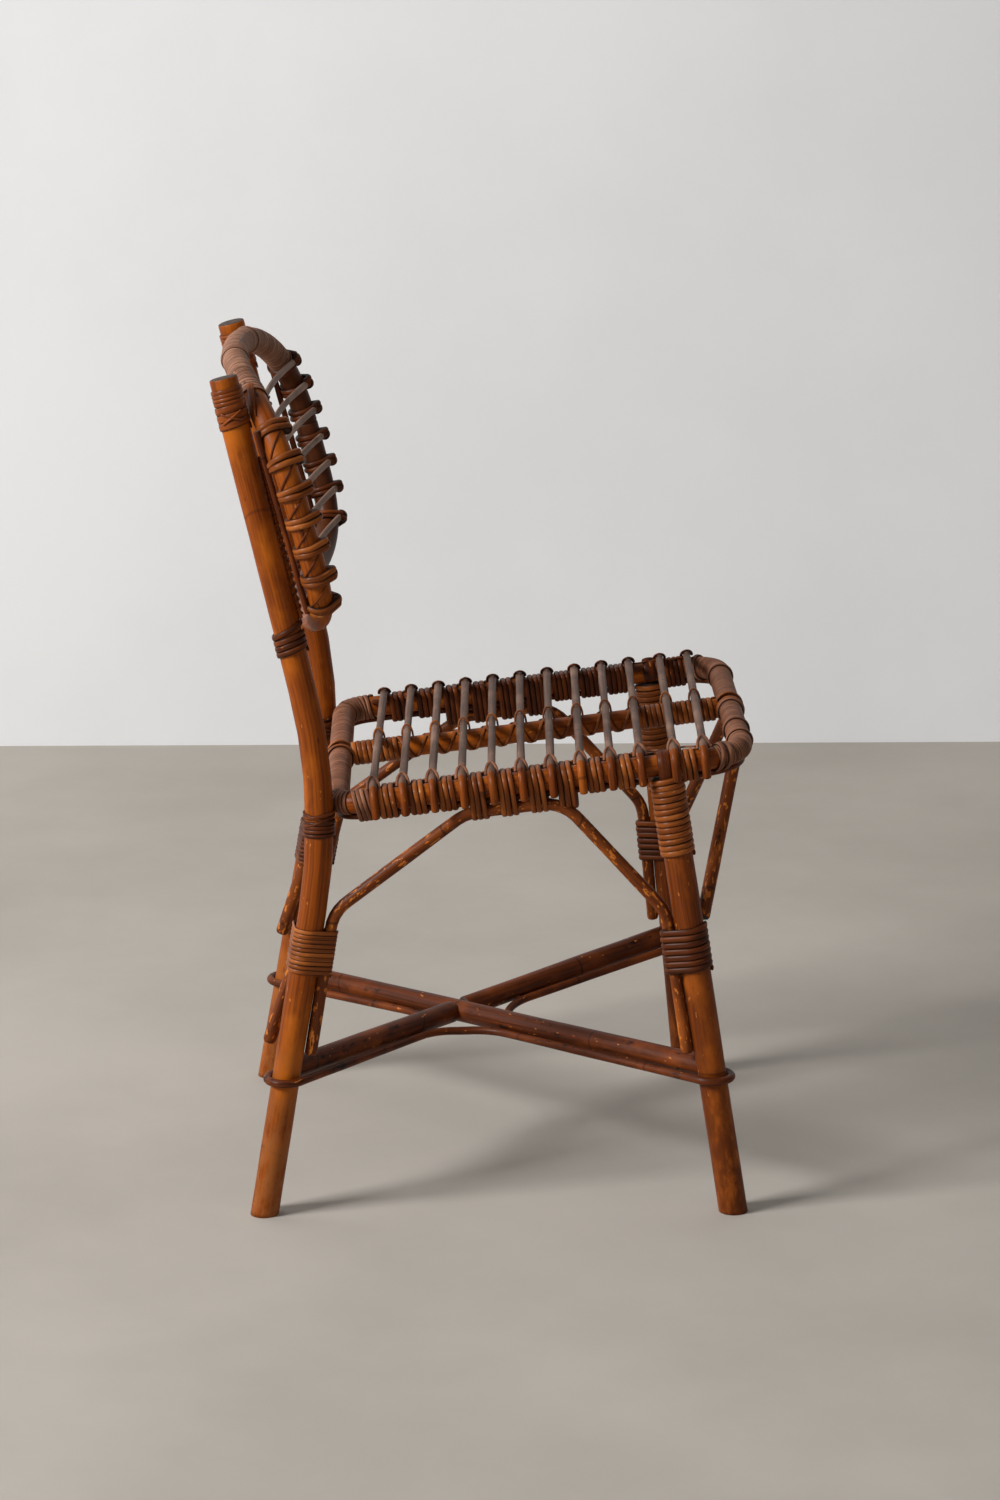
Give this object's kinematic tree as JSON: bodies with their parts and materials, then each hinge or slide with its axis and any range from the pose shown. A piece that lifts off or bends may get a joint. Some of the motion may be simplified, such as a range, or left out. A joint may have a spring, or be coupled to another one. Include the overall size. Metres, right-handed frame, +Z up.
{
  "type": "rattan dining chair",
  "caption": "Rattan dining chair: splayed poles bound with cane, a stick seat on a rounded frame, arched braces, crossed stretchers and a bowed hoop back with slats",
  "frame": {"origin": "centre of the bounding box on the floor", "axes": "+X forward, the way a sitter faces; +Y to the sitter's left; +Z up"},
  "size_m": [0.5245, 0.4467, 0.8271],
  "materials": {
    "amber_rattan": "glossy amber varnish over rattan pole",
    "dark_rattan": "dark red-brown varnish over thin rattan rod",
    "weathered_cane": "greyed, worn cane with little gloss",
    "binding_cane": "glossy reddish-brown flat cane"
  },
  "bodies": {
    "root": {"back_brace": "dark_rattan", "back_hoop": "amber_rattan", "back_leg_binding_left": "binding_cane", "back_leg_binding_right": "binding_cane", "back_leg_left": "amber_rattan", "back_leg_right": "amber_rattan", "back_rail_wrap": "binding_cane", "back_slat_1": "weathered_cane", "back_slat_2": "weathered_cane", "back_slat_3": "weathered_cane", "back_slat_4": "weathered_cane", "back_slat_5": "weathered_cane", "back_slat_6": "weathered_cane", "back_slat_7": "weathered_cane", "centre_rail": "amber_rattan", "centre_rail_lashing": "binding_cane", "crown_wrap": "binding_cane", "edge_rod_back": "dark_rattan", "edge_rod_front": "dark_rattan", "front_brace": "dark_rattan", "front_leg_binding_left": "binding_cane", "front_leg_binding_right": "binding_cane", "front_leg_left": "amber_rattan", "front_leg_right": "amber_rattan", "front_leg_wrap_left": "binding_cane", "front_leg_wrap_right": "binding_cane", "front_rail_wrap": "binding_cane", "hoop_foot_binding_left": "binding_cane", "hoop_foot_binding_right": "binding_cane", "hoop_rod_left": "dark_rattan", "hoop_rod_right": "dark_rattan", "inner_rod_left": "dark_rattan", "inner_rod_right": "dark_rattan", "post_top_binding_left": "binding_cane", "post_top_binding_right": "binding_cane", "seat_corner_binding_left": "binding_cane", "seat_corner_binding_right": "binding_cane", "seat_frame": "amber_rattan", "seat_stick_01": "weathered_cane", "seat_stick_02": "weathered_cane", "seat_stick_03": "weathered_cane", "seat_stick_04": "weathered_cane", "seat_stick_05": "weathered_cane", "seat_stick_06": "weathered_cane", "seat_stick_07": "weathered_cane", "seat_stick_08": "weathered_cane", "seat_stick_09": "weathered_cane", "seat_stick_10": "weathered_cane", "seat_stick_11": "weathered_cane", "seat_stick_12": "weathered_cane", "side_brace_left": "dark_rattan", "side_brace_right": "dark_rattan", "side_rail_binding_left": "binding_cane", "side_rail_binding_right": "binding_cane", "stretcher_half_left": "dark_rattan", "stretcher_half_right": "dark_rattan", "stretcher_long": "dark_rattan", "stretcher_ring": "dark_rattan"}
  },
  "joints": []
}
